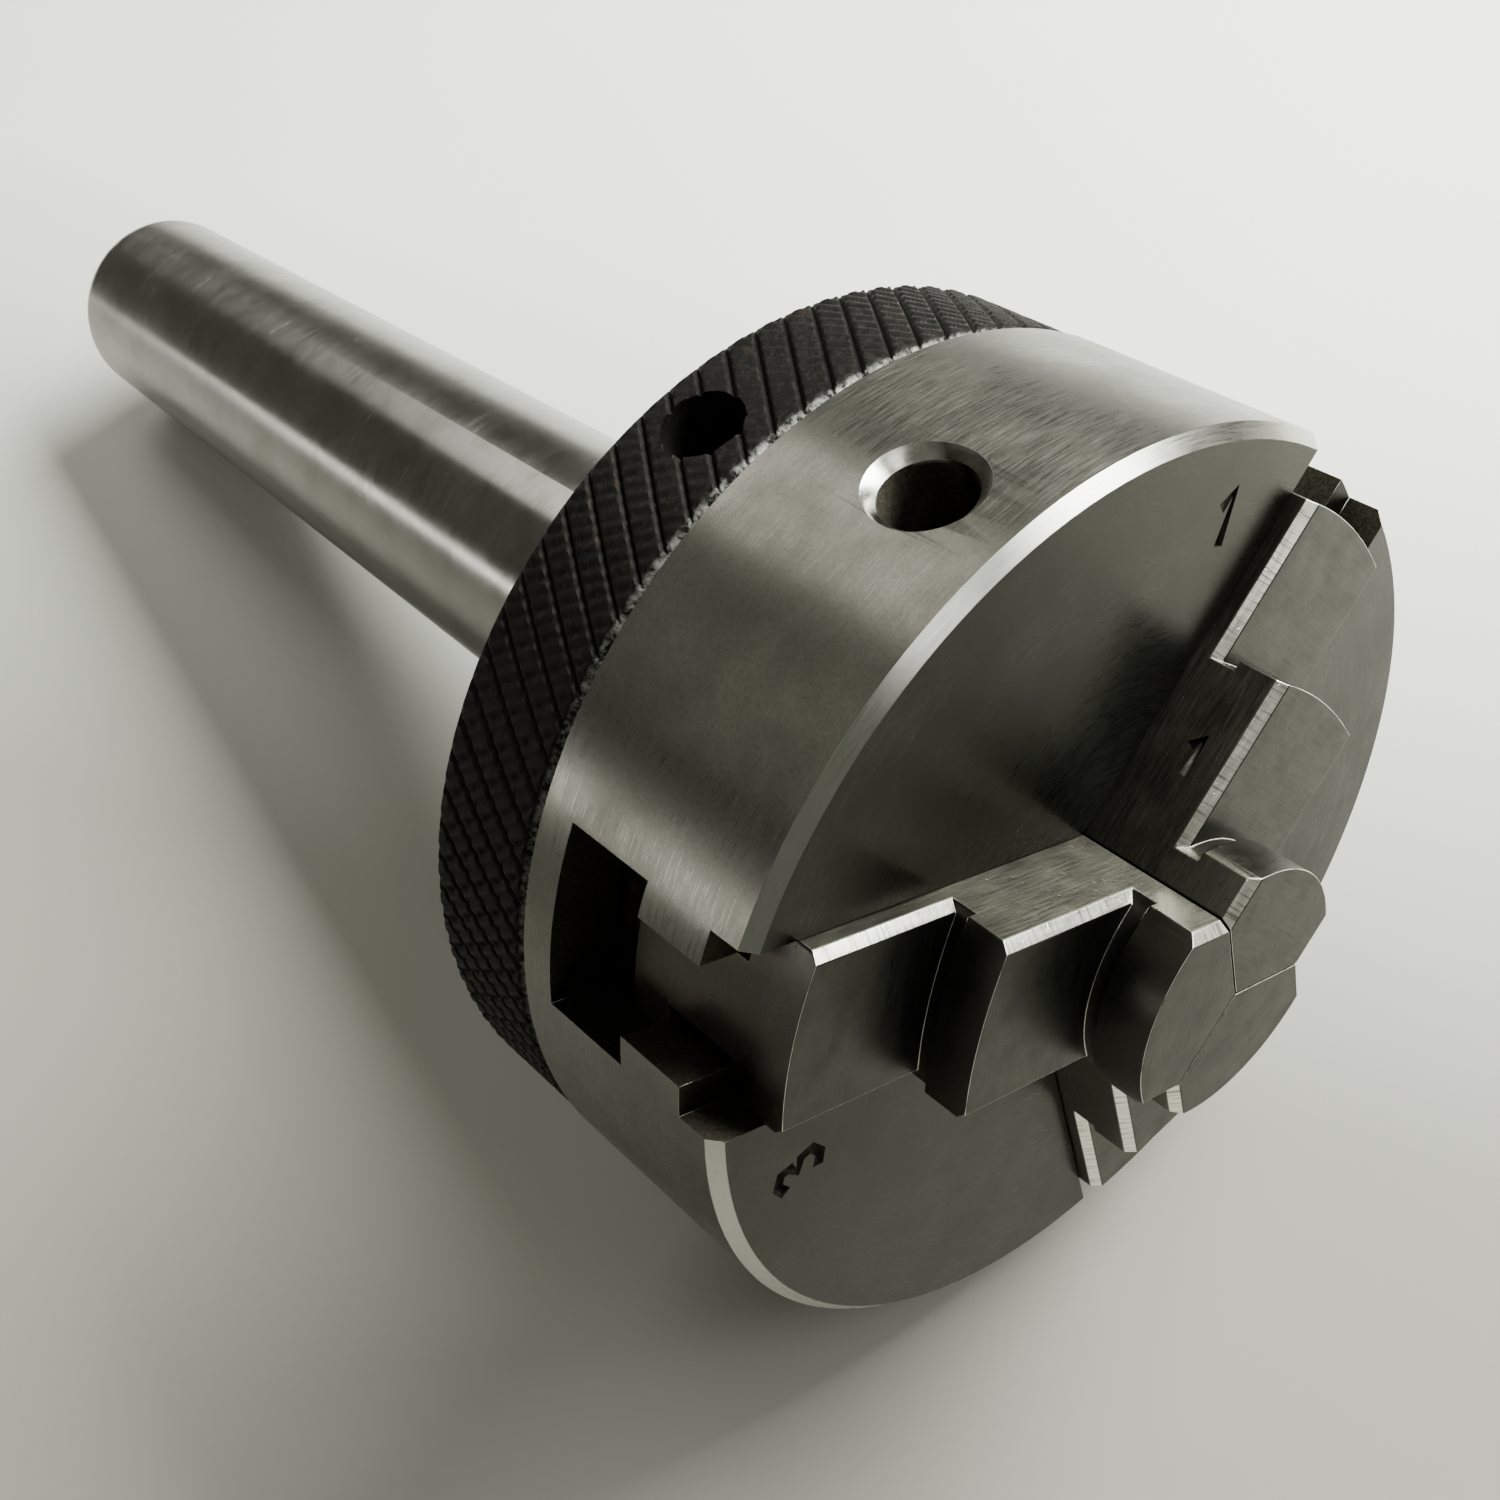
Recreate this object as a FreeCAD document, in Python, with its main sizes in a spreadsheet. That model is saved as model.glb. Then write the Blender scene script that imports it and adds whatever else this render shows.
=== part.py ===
"""Three-jaw scroll chuck, 50 mm, turned by bars, on a Morse taper 2 arbor.

The chuck's axis is X, with the jaws towards +X and the arbor's shank towards -X. The origin is on the
axis in the gauge plane of the taper. Lengths are millimetres.
"""
import FreeCAD, Part
import math
import os
import Sketcher

NUMBERS = {
    # body
    "body_back_x": 11.0, "body_length": 14.3, "body_radius": 25.0, "face_chamfer": 0.65,
    "back_chamfer": 0.25, "cavity_radius": 21.2, "cavity_depth": 4.9, "hub_radius": 12.4,
    "hub_end_x": 5.8, "centre_bore_radius": 6.0, "thread_bore_radius": 7.02, "thread_bore_end_x": 13.0,
    # jaw slots, cut from the axis outwards
    "slot_width": 9.94, "slot_floor_x": 13.3, "tongue_gap": 6.4, "tongue_back_x": 18.7,
    "tongue_front_x": 22.9, "cut_past": 2.0,
    # radial holes for the turning bars
    "body_hole_x": 19.2, "body_hole_radius": 2.3, "body_hole_floor": 13.0, "hole_sink": 0.65,
    "ring_hole_x": 7.0, "ring_hole_radius": 2.1, "ring_hole_turn": 5.5,
    # knurled ring and scroll plate
    "ring_back_x": 3.3, "ring_front_x": 10.9, "ring_radius": 24.85, "ring_chamfer": 0.35,
    "ring_seat_radius": 18.0, "plate_back_x": 3.4, "plate_radius": 20.9, "plate_face_x": 13.6,
    "plate_recess_radius": 15.5, "plate_recess_x": 6.4, "plate_bore_radius": 12.45,
    "thread_pitch": 3.0, "thread_land": 1.25, "thread_top_x": 15.6, "thread_inner_radius": 12.8,
    "thread_outer_radius": 20.7, "thread_start_radius": 19.0,
    "pin_radius": 1.25, "pin_end_x": 8.0, "pin_turn": 35.5,
    # rear flange, washer and screws
    "flange_back_x": 1.3, "flange_radius": 15.2, "flange_chamfer": 0.4,
    "washer_front_x": 6.35, "washer_bore_radius": 12.6,
    "screw_circle_radius": 9.9, "screw_radius": 1.5, "screw_hole_radius": 1.55, "screw_end_x": 12.3,
    "screw_hole_end_x": 12.8, "head_seat_x": 4.6, "head_back_x": 1.9, "head_radius": 2.75,
    "head_hole_radius": 2.9, "socket_across": 2.5, "socket_depth": 1.5,
    # arbor
    "gauge_radius": 8.89, "taper_slope": 0.024975, "shank_length": 75.5, "end_round": 1.3,
    "collar_radius": 9.0, "nose_radius": 6.95, "nose_end_x": 12.6, "nose_chamfer": 0.8,
    "drawbar_radius": 4.3, "drawbar_depth": 20.0, "drawbar_sink": 0.9,
    # jaws
    "jaw_width": 9.8, "jaw_back_x": 16.0, "jaw_end_radius": 22.1, "neck_width": 5.2,
    "groove_back_x": 18.62, "groove_front_x": 22.98, "step_one_x": 26.55, "step_two_x": 30.1,
    "jaw_tip_x": 34.0, "undercut_length": 0.95, "undercut_depth": 0.5, "riser_one_crown": 14.0,
    "riser_one_radius": 24.0, "riser_two_crown": 6.7, "riser_two_radius": 7.8, "jaw_chamfer": 0.5,
    "closed_gap": 0.05,
    "tooth_floor_x": 13.85, "tooth_thick": 1.2, "tooth_half_width": 2.4, "tooth_outer_arc": 7.5,
    "tooth_inner_arc": 22.0, "tooth_first": 4.4, "tooth_last": 20.4,
}
WORKED_OUT = {
    "body_face_x": "=body_back_x + body_length",
    "face_edge_x": "=body_face_x - face_chamfer",
    "face_edge_radius": "=body_radius - face_chamfer",
    "back_edge_x": "=body_back_x + back_chamfer",
    "back_edge_radius": "=body_radius - back_chamfer",
    "cavity_x": "=body_back_x + cavity_depth",
    "slot_side": "=slot_width / 2",
    "slot_other_side": "=-slot_width / 2",
    "tongue_side": "=tongue_gap / 2",
    "tongue_other_side": "=-tongue_gap / 2",
    "slot_open_x": "=body_face_x + cut_past",
    "hole_open_radius": "=body_radius + cut_past",
    "body_hole_edge_x": "=body_hole_x + body_hole_radius",
    "sink_start_radius": "=body_radius - hole_sink",
    "sink_edge_x": "=body_hole_x + body_hole_radius + hole_sink + cut_past",
    "ring_back_edge_x": "=ring_back_x + ring_chamfer",
    "ring_front_edge_x": "=ring_front_x - ring_chamfer",
    "ring_edge_radius": "=ring_radius - ring_chamfer",
    "flange_back_edge_x": "=flange_back_x + flange_chamfer",
    "flange_edge_radius": "=flange_radius - flange_chamfer",
    "shank_end_x": "=-shank_length",
    "shank_end_radius": "=gauge_radius - shank_length * taper_slope",
    "drawbar_floor_x": "=drawbar_depth - shank_length",
    "drawbar_sink_x": "=drawbar_sink - shank_length",
    "drawbar_mouth_radius": "=drawbar_radius + drawbar_sink",
    "nose_edge_x": "=nose_end_x - nose_chamfer",
    "nose_edge_radius": "=nose_radius - nose_chamfer",
    "undercut_one_x": "=step_one_x + undercut_length",
    "undercut_two_x": "=step_two_x + undercut_length",
    "undercut_one_crown": "=riser_one_crown - undercut_depth",
    "undercut_two_crown": "=riser_two_crown - undercut_depth",
}
JAW_TURNS = {"jaw_1": -60.0, "jaw_2": 180.0, "jaw_3": 60.0}
FLANGE_SCREW_TURNS = {"flange_screw_1": 0.0, "flange_screw_2": 120.0, "flange_screw_3": 240.0}
RING_PIN_TURNS = {"ring_pin_1": 0.0, "ring_pin_2": 120.0, "ring_pin_3": 240.0}
X_AXIS = FreeCAD.Vector(1, 0, 0)
ORIGIN = FreeCAD.Vector(0, 0, 0)

doc = FreeCAD.newDocument("lathe_chuck")
sheet = doc.addObject("Spreadsheet::Sheet", "dims")
for row, (alias, value) in enumerate({**NUMBERS, **WORKED_OUT}.items(), start=1):
    sheet.set(f"A{row}", alias)
    sheet.set(f"B{row}", str(value))
    sheet.setAlias(f"B{row}", alias)
doc.recompute()


def size(alias):
    """A dimension's value from the sheet."""
    return float(sheet.get(alias))


def about_x(degrees, radial_shift=0.0):
    """A turn about the chuck's axis, after a shift along +Z."""
    turn = FreeCAD.Placement(ORIGIN, FreeCAD.Rotation(X_AXIS, degrees))
    return turn.multiply(FreeCAD.Placement(FreeCAD.Vector(0, 0, radial_shift), FreeCAD.Rotation()))


def new_body(label):
    body = doc.addObject("PartDesign::Body", label)
    body.Label = label
    return body


def origin_feature(body, role):
    return next(item for item in body.Origin.OriginFeatures if item.Role == role)


def new_sketch(body, name, role, offset_alias=None):
    """A sketch on one of the body's origin planes, raised along the plane's normal by a cell's value."""
    sketch = body.newObject("Sketcher::SketchObject", name)
    sketch.AttachmentSupport = (origin_feature(body, role), "")
    sketch.MapMode = "FlatFace"
    if offset_alias:
        sketch.setExpression("AttachmentOffset.Base.z", f"dims.{offset_alias}")
    return sketch


def bind(sketch, kind, geometry, point, alias, sign=1):
    """Hold one coordinate of a point at a cell's value."""
    index = sketch.addConstraint(Sketcher.Constraint(kind, -1, 1, geometry, point, sign * size(alias)))
    text = f"dims.{alias}" if sign > 0 else f"-dims.{alias}"
    sketch.setExpression(f"Constraints[{index}]", text)


def add_outline(sketch, corners):
    """A closed outline of straight lines; each corner is a pair of cell names, and None means zero."""
    points = [FreeCAD.Vector(*[size(name) if name else 0.0 for name in corner], 0) for corner in corners]
    first = sketch.GeometryCount
    count = len(points)
    for i in range(count):
        sketch.addGeometry(Part.LineSegment(points[i], points[(i + 1) % count]))
    for i in range(count):
        following = first + (i + 1) % count
        sketch.addConstraint(Sketcher.Constraint("Coincident", first + i, 2, following, 1))
    for i, (across, up) in enumerate(corners):
        for kind, alias, axis in (("DistanceX", across, -2), ("DistanceY", up, -1)):
            if alias:
                bind(sketch, kind, first + i, 1, alias)
            else:
                sketch.addConstraint(Sketcher.Constraint("PointOnObject", first + i, 1, axis))


def revolve(body, name, corners):
    """Turn an outline in the XZ plane about the chuck's axis."""
    sketch = new_sketch(body, f"{name}_profile", "XZ_Plane")
    add_outline(sketch, corners)
    feature = body.newObject("PartDesign::Revolution", name)
    feature.Profile = sketch
    feature.ReferenceAxis = (sketch, ["H_Axis"])
    feature.Angle = 360
    doc.recompute()
    return feature


def circle_sketch(body, name, role, offset_alias, centre, radius_alias):
    """A circle whose centre and radius come from the sheet."""
    sketch = new_sketch(body, name, role, offset_alias)
    place = FreeCAD.Vector(*[size(alias) if alias else 0.0 for alias in centre], 0)
    sketch.addGeometry(Part.Circle(place, FreeCAD.Vector(0, 0, 1), size(radius_alias)))
    for kind, alias, axis in zip(("DistanceX", "DistanceY"), centre, (-2, -1)):
        if alias:
            bind(sketch, kind, 0, 3, alias)
        else:
            sketch.addConstraint(Sketcher.Constraint("PointOnObject", 0, 3, axis))
    index = sketch.addConstraint(Sketcher.Constraint("Radius", 0, size(radius_alias)))
    sketch.setExpression(f"Constraints[{index}]", f"dims.{radius_alias}")
    return sketch


def cut(body, name, sketch, length_text, reverse=False):
    """A pocket of the length that an expression gives; it must take material away."""
    before = body.Shape.Volume
    pocket = body.newObject("PartDesign::Pocket", name)
    pocket.Profile = sketch
    pocket.Reversed = reverse
    pocket.setExpression("Length", length_text)
    doc.recompute()
    if not body.Shape.Volume < before - 0.01:
        raise RuntimeError(f"{name} cuts nothing")
    return pocket


def three_times(body, name, feature):
    """Repeat a feature at every third of a turn about the chuck's axis."""
    pattern = body.newObject("PartDesign::PolarPattern", name)
    pattern.Originals = [feature]
    pattern.Axis = (origin_feature(body, "X_Axis"), [""])
    pattern.Angle = 360
    pattern.Occurrences = 3
    body.Tip = pattern
    doc.recompute()
    return pattern


def make_chuck_body():
    """Face disc with a rear cavity for the scroll, a hub, three T-slots and three bar holes."""
    body = new_body("chuck_body")
    revolve(body, "blank", [
        ("body_face_x", "centre_bore_radius"), ("body_face_x", "face_edge_radius"),
        ("face_edge_x", "body_radius"), ("back_edge_x", "body_radius"),
        ("body_back_x", "back_edge_radius"), ("body_back_x", "cavity_radius"),
        ("cavity_x", "cavity_radius"), ("cavity_x", "hub_radius"), ("hub_end_x", "hub_radius"),
        ("hub_end_x", "thread_bore_radius"), ("thread_bore_end_x", "thread_bore_radius"),
        ("thread_bore_end_x", "centre_bore_radius")])
    slot = new_sketch(body, "slot_section", "XY_Plane")
    half = [("slot_open_x", "slot_side"), ("tongue_front_x", "slot_side"),
            ("tongue_front_x", "tongue_side"), ("tongue_back_x", "tongue_side"),
            ("tongue_back_x", "slot_side"), ("slot_floor_x", "slot_side")]
    other = [(x, side.replace("_side", "_other_side")) for x, side in reversed(half)]
    add_outline(slot, half + other)
    slot_cut = cut(body, "slot_cut", slot, "dims.body_radius + dims.cut_past")
    three_times(body, "slots", slot_cut)
    hole = new_sketch(body, "bar_hole_profile", "XZ_Plane")
    add_outline(hole, [
        ("body_hole_x", "body_hole_floor"), ("body_hole_edge_x", "body_hole_floor"),
        ("body_hole_edge_x", "sink_start_radius"), ("sink_edge_x", "hole_open_radius"),
        ("body_hole_x", "hole_open_radius")])
    groove = body.newObject("PartDesign::Groove", "bar_hole")
    groove.Profile = hole
    groove.ReferenceAxis = (hole, ["Edge5"])
    groove.Angle = 360
    doc.recompute()
    three_times(body, "bar_holes", groove)
    tapped = circle_sketch(body, "tapped_hole_circle", "YZ_Plane", "hub_end_x",
                           (None, "screw_circle_radius"), "screw_hole_radius")
    tapped_cut = cut(body, "tapped_hole", tapped, "dims.screw_hole_end_x - dims.hub_end_x", reverse=True)
    three_times(body, "tapped_holes", tapped_cut)
    return body


def make_knurled_ring():
    """Outer ring that is gripped or turned by a bar; it is fitted on the scroll plate's rim."""
    body = new_body("knurled_ring")
    revolve(body, "sleeve", [
        ("ring_back_x", "ring_seat_radius"), ("ring_back_x", "ring_edge_radius"),
        ("ring_back_edge_x", "ring_radius"), ("ring_front_edge_x", "ring_radius"),
        ("ring_front_x", "ring_edge_radius"), ("ring_front_x", "ring_seat_radius")])
    circle = circle_sketch(body, "bar_hole_circle", "XY_Plane", None, ("ring_hole_x", None),
                           "ring_hole_radius")
    hole = cut(body, "bar_hole", circle, "dims.ring_radius + dims.cut_past", reverse=True)
    three_times(body, "bar_holes", hole)
    pin = circle_sketch(body, "pin_hole_circle", "YZ_Plane", "ring_back_x", (None, "ring_seat_radius"),
                        "pin_radius")
    pin.setExpression("AttachmentOffset.Rotation.Angle", "dims.pin_turn - dims.ring_hole_turn - 90")
    pin.AttachmentOffset.Rotation.Axis = FreeCAD.Vector(0, 0, 1)
    pin_cut = cut(body, "pin_hole", pin, "dims.pin_end_x - dims.ring_back_x", reverse=True)
    three_times(body, "pin_holes", pin_cut)
    body.setExpression("Placement.Rotation.Angle", "dims.ring_hole_turn")
    body.Placement.Rotation.Axis = X_AXIS
    return body


def spiral_edge(shift):
    """One flank of the scroll thread, whose radius falls by one pitch in each turn about +X."""
    pitch = size("thread_pitch")
    turns_out = 1.5
    turns_in = 3.0
    steps_per_turn = 24
    points = []
    for i in range(int((turns_out + turns_in) * steps_per_turn) + 1):
        turns = i / steps_per_turn - turns_out
        radius = size("thread_start_radius") - pitch * turns + shift
        angle = 2 * math.pi * turns
        points.append(FreeCAD.Vector(0, radius * math.cos(angle), radius * math.sin(angle)))
    curve = Part.BSplineCurve()
    curve.interpolate(points)
    return curve.toShape()


def make_scroll_thread():
    """The spiral ridge, trimmed to a ring between its inner and outer radius."""
    land = size("thread_land")
    outer = spiral_edge(land / 2)
    inner = spiral_edge(-land / 2)
    start = Part.makeLine(outer.Vertexes[0].Point, inner.Vertexes[0].Point)
    finish = Part.makeLine(outer.Vertexes[-1].Point, inner.Vertexes[-1].Point)
    face = Part.Face(Part.Wire([outer, finish, inner.reversed(), start]))
    overlap = 0.2
    height = size("thread_top_x") - size("plate_face_x") + overlap
    ridge = face.extrude(X_AXIS * height)
    ridge.translate(X_AXIS * (size("plate_face_x") - overlap))
    band = Part.makeCylinder(size("thread_outer_radius"), height * 3, ORIGIN, X_AXIS)
    band = band.cut(Part.makeCylinder(size("thread_inner_radius"), height * 3, ORIGIN, X_AXIS))
    band.translate(X_AXIS * (size("plate_face_x") - height))
    ridge = ridge.common(band)
    thread = doc.addObject("Part::Feature", "scroll_thread")
    thread.Shape = ridge
    return thread


def make_scroll_plate():
    """Disc that turns on the hub, with the spiral thread on its front."""
    disc = new_body("scroll_disc")
    revolve(disc, "disc_blank", [
        ("plate_back_x", "plate_recess_radius"), ("plate_back_x", "ring_seat_radius"),
        ("ring_front_x", "ring_seat_radius"), ("ring_front_x", "plate_radius"),
        ("plate_face_x", "plate_radius"), ("plate_face_x", "plate_bore_radius"),
        ("plate_recess_x", "plate_bore_radius"), ("plate_recess_x", "plate_recess_radius")])
    pin = circle_sketch(disc, "pin_half_circle", "YZ_Plane", "plate_back_x", (None, "ring_seat_radius"),
                        "pin_radius")
    pin.setExpression("AttachmentOffset.Rotation.Angle", "dims.pin_turn - 90")
    pin.AttachmentOffset.Rotation.Axis = FreeCAD.Vector(0, 0, 1)
    pin_cut = cut(disc, "pin_half", pin, "dims.pin_end_x - dims.plate_back_x", reverse=True)
    three_times(disc, "pin_halves", pin_cut)
    plate = doc.addObject("Part::Fuse", "scroll_plate")
    plate.Label = "scroll_plate"
    plate.Base = disc
    plate.Tool = make_scroll_thread()
    return plate


def make_ring_pin(label, turn):
    """Dowel half in the ring and half in the scroll plate."""
    pin = doc.addObject("Part::Cylinder", label)
    pin.Label = label
    pin.setExpression("Radius", "dims.pin_radius")
    pin.setExpression("Height", "dims.pin_end_x - dims.plate_back_x")
    seat = size("ring_seat_radius")
    angle = math.radians(size("pin_turn") + turn)
    place = FreeCAD.Vector(size("plate_back_x"), seat * math.cos(angle), seat * math.sin(angle))
    pin.Placement = FreeCAD.Placement(place, FreeCAD.Rotation(FreeCAD.Vector(0, 0, 1), X_AXIS))
    return pin


def make_thrust_washer():
    body = new_body("thrust_washer")
    revolve(body, "washer", [
        ("hub_end_x", "washer_bore_radius"), ("hub_end_x", "flange_radius"),
        ("washer_front_x", "flange_radius"), ("washer_front_x", "washer_bore_radius")])
    return body


def make_rear_flange():
    """Plate screwed to the hub; it traps the scroll plate and carries the mounting thread."""
    body = new_body("rear_flange")
    revolve(body, "plate", [
        ("flange_back_x", "thread_bore_radius"), ("flange_back_x", "flange_edge_radius"),
        ("flange_back_edge_x", "flange_radius"), ("hub_end_x", "flange_radius"),
        ("hub_end_x", "thread_bore_radius")])
    for name, radius, end in (("screw_hole", "screw_hole_radius", "hub_end_x"),
                              ("head_hole", "head_hole_radius", "head_seat_x")):
        circle = circle_sketch(body, f"{name}_circle", "YZ_Plane", "flange_back_x",
                               (None, "screw_circle_radius"), radius)
        hole = cut(body, name, circle, f"dims.{end} - dims.flange_back_x", reverse=True)
        three_times(body, f"{name}s", hole)
    return body


def make_flange_screw(label, turn):
    """Socket-head screw with its head towards -X."""
    body = new_body(label)
    revolve(body, "shank", [
        ("screw_end_x", None), ("screw_end_x", "screw_radius"), ("head_seat_x", "screw_radius"),
        ("head_seat_x", "head_radius"), ("head_back_x", "head_radius"), ("head_back_x", None)])
    socket = new_sketch(body, "socket_outline", "YZ_Plane", "head_back_x")
    corner_radius = size("socket_across") / math.sqrt(3)
    points = [FreeCAD.Vector(corner_radius * math.cos(math.radians(60 * i)),
                             corner_radius * math.sin(math.radians(60 * i)), 0) for i in range(6)]
    for i in range(6):
        socket.addGeometry(Part.LineSegment(points[i], points[(i + 1) % 6]))
    circle = socket.addGeometry(Part.Circle(ORIGIN, FreeCAD.Vector(0, 0, 1), corner_radius), True)
    socket.addConstraint(Sketcher.Constraint("Coincident", circle, 3, -1, 1))
    for i in range(6):
        socket.addConstraint(Sketcher.Constraint("Coincident", i, 2, (i + 1) % 6, 1))
        socket.addConstraint(Sketcher.Constraint("PointOnObject", i, 1, circle))
        if i:
            socket.addConstraint(Sketcher.Constraint("Equal", 0, i))
    socket.addConstraint(Sketcher.Constraint("PointOnObject", 0, 1, -1))
    index = socket.addConstraint(Sketcher.Constraint("Radius", circle, corner_radius))
    socket.setExpression(f"Constraints[{index}]", "dims.socket_across / sqrt(3)")
    cut(body, "socket", socket, "dims.socket_depth", reverse=True)
    angle = math.radians(90 + turn)
    circle_radius = size("screw_circle_radius")
    place = FreeCAD.Vector(0, circle_radius * math.cos(angle), circle_radius * math.sin(angle))
    body.Placement = FreeCAD.Placement(place, FreeCAD.Rotation(X_AXIS, turn))
    return body


def make_arbor():
    """Morse taper shank with a collar and a threaded nose; a draw-bar thread opens its rear end."""
    body = new_body("arbor")
    revolve(body, "shank", [
        ("nose_end_x", None), ("nose_end_x", "nose_edge_radius"), ("nose_edge_x", "nose_radius"),
        ("flange_back_x", "nose_radius"), ("flange_back_x", "collar_radius"), (None, "collar_radius"),
        (None, "gauge_radius"), ("shank_end_x", "shank_end_radius"),
        ("shank_end_x", "drawbar_mouth_radius"), ("drawbar_sink_x", "drawbar_radius"),
        ("drawbar_floor_x", "drawbar_radius"), ("drawbar_floor_x", None)])
    end_x = size("shank_end_x")
    end_radius = size("shank_end_radius")

    def on_end_rim(edge):
        box = edge.BoundBox
        return box.XLength < 1e-6 and abs(box.XMin - end_x) < 1e-6 and abs(box.ZMax - end_radius) < 1e-6

    tip = body.Tip
    names = [f"Edge{i + 1}" for i, edge in enumerate(tip.Shape.Edges) if on_end_rim(edge)]
    rounded = body.newObject("PartDesign::Fillet", "rounded_end")
    rounded.Base = (tip, names)
    rounded.setExpression("Radius", "dims.end_round")
    doc.recompute()
    return body


def jaw_plan(crown, width, arc_radius):
    """Plan of one layer of a jaw: a 120 degree nose at the axis, parallel sides and an arched end."""
    side = width / 2
    nose = side / math.tan(math.radians(60))
    end = crown - arc_radius + math.sqrt(arc_radius ** 2 - side ** 2)
    arch = Part.Arc(FreeCAD.Vector(0, side, end), FreeCAD.Vector(0, 0, crown), FreeCAD.Vector(0, -side, end))
    corners = [FreeCAD.Vector(0, -side, end), FreeCAD.Vector(0, -side, nose), ORIGIN,
               FreeCAD.Vector(0, side, nose), FreeCAD.Vector(0, side, end)]
    edges = [arch.toShape()] + [Part.makeLine(a, b) for a, b in zip(corners, corners[1:])]
    return Part.Face(Part.Wire(edges))


def make_jaw_blank():
    """Jaw without its teeth, pointing along +Z, stacked from layers along X, side edges chamfered."""
    wide = size("jaw_width")
    end_radius = size("jaw_end_radius")
    arch_one = size("riser_one_radius")
    arch_two = size("riser_two_radius")
    layers = [
        ("jaw_back_x", "groove_back_x", end_radius, wide, end_radius),
        ("groove_back_x", "groove_front_x", end_radius, size("neck_width"), end_radius),
        ("groove_front_x", "step_one_x", end_radius, wide, end_radius),
        ("step_one_x", "undercut_one_x", size("undercut_one_crown"), wide, arch_one),
        ("undercut_one_x", "step_two_x", size("riser_one_crown"), wide, arch_one),
        ("step_two_x", "undercut_two_x", size("undercut_two_crown"), wide, arch_two),
        ("undercut_two_x", "jaw_tip_x", size("riser_two_crown"), wide, arch_two)]
    solids = []
    for start, end, crown, width, radius in layers:
        layer = jaw_plan(crown, width, radius).extrude(X_AXIS * (size(end) - size(start)))
        layer.translate(X_AXIS * size(start))
        solids.append(layer)
    shape = solids[0].multiFuse(solids[1:]).removeSplitter()
    tops = [size("step_one_x"), size("step_two_x"), size("jaw_tip_x")]

    def is_step_side(edge):
        box = edge.BoundBox
        on_top = any(abs(box.XMin - top) < 1e-6 for top in tops)
        straight = box.XLength < 1e-6 and box.YLength < 1e-6
        return on_top and straight and box.ZLength > 1.0 and abs(abs(box.YMin) - wide / 2) < 1e-6

    shape = shape.makeChamfer(size("jaw_chamfer"), [edge for edge in shape.Edges if is_step_side(edge)])
    blank = doc.addObject("Part::Feature", "jaw_blank")
    blank.Shape = shape
    return blank


def tooth_places(turn):
    """Distances from the axis of a jaw's teeth, which lie in the scroll's grooves when it is closed."""
    pitch = size("thread_pitch")
    azimuth = (90 + turn) / 360
    groove = size("thread_start_radius") - pitch * azimuth - pitch / 2
    first = size("tooth_first")
    offset = (groove - size("closed_gap") - first) % pitch
    count = int((size("tooth_last") - first - offset) / pitch) + 1
    return [first + offset + pitch * i for i in range(count)]


def make_tooth(place):
    """One tooth: its outer flank curves more than its inner one, so that it clears at every radius."""
    half_thick = size("tooth_thick") / 2
    side = size("tooth_half_width")

    def flank(crown, radius):
        end = crown - radius + math.sqrt(radius ** 2 - side ** 2)
        return [FreeCAD.Vector(0, -side, end), FreeCAD.Vector(0, 0, crown), FreeCAD.Vector(0, side, end)]

    outer = flank(place + half_thick, size("tooth_outer_arc"))
    inner = flank(place - half_thick, size("tooth_inner_arc"))
    wire = Part.Wire([Part.Arc(*outer).toShape(), Part.makeLine(outer[2], inner[2]),
                      Part.Arc(*reversed(inner)).toShape(), Part.makeLine(inner[0], outer[0])])
    overlap = 0.3
    height = size("jaw_back_x") - size("tooth_floor_x") + overlap
    tooth = Part.Face(wire).extrude(X_AXIS * height)
    tooth.translate(X_AXIS * size("tooth_floor_x"))
    return tooth


def make_jaw(label, turn, blank):
    """A jaw with the teeth that its place round the scroll needs."""
    teeth = doc.addObject("Part::Feature", f"{label}_teeth")
    teeth.Shape = Part.makeCompound([make_tooth(place) for place in tooth_places(turn)])
    jaw = doc.addObject("Part::Fuse", label)
    jaw.Label = label
    jaw.Base = blank
    jaw.Tool = teeth
    jaw.Placement = about_x(turn, size("closed_gap"))
    return jaw


def make_all():
    parts = [make_chuck_body(), make_knurled_ring(), make_scroll_plate(), make_thrust_washer(),
             make_rear_flange(), make_arbor()]
    parts += [make_flange_screw(label, turn) for label, turn in FLANGE_SCREW_TURNS.items()]
    parts += [make_ring_pin(label, turn) for label, turn in RING_PIN_TURNS.items()]
    blank = make_jaw_blank()
    parts += [make_jaw(label, turn, blank) for label, turn in JAW_TURNS.items()]
    doc.recompute()
    return parts


def check(parts):
    failed = [item.Name for item in doc.Objects if {"Invalid", "Error"} & set(item.State)]
    if failed:
        raise RuntimeError(f"failed objects: {failed}")
    for part in parts:
        if part.Shape.isNull() or not part.Shape.isValid():
            raise RuntimeError(f"{part.Label} has a bad shape")


def write(parts):
    os.makedirs("parts", exist_ok=True)
    for part in parts:
        part.Shape.exportStep(f"parts/{part.Label}.step")
        print(f"{part.Label}: {len(part.Shape.Solids)} solid, {part.Shape.Volume:.1f} mm3")


all_parts = make_all()
check(all_parts)
write(all_parts)
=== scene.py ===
"""Looks of the three-jaw chuck: knurled ring, stamped numbers, steel and black oxide, ground and lights."""
import math

import bmesh
import bpy
from mathutils import Matrix, Vector


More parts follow.
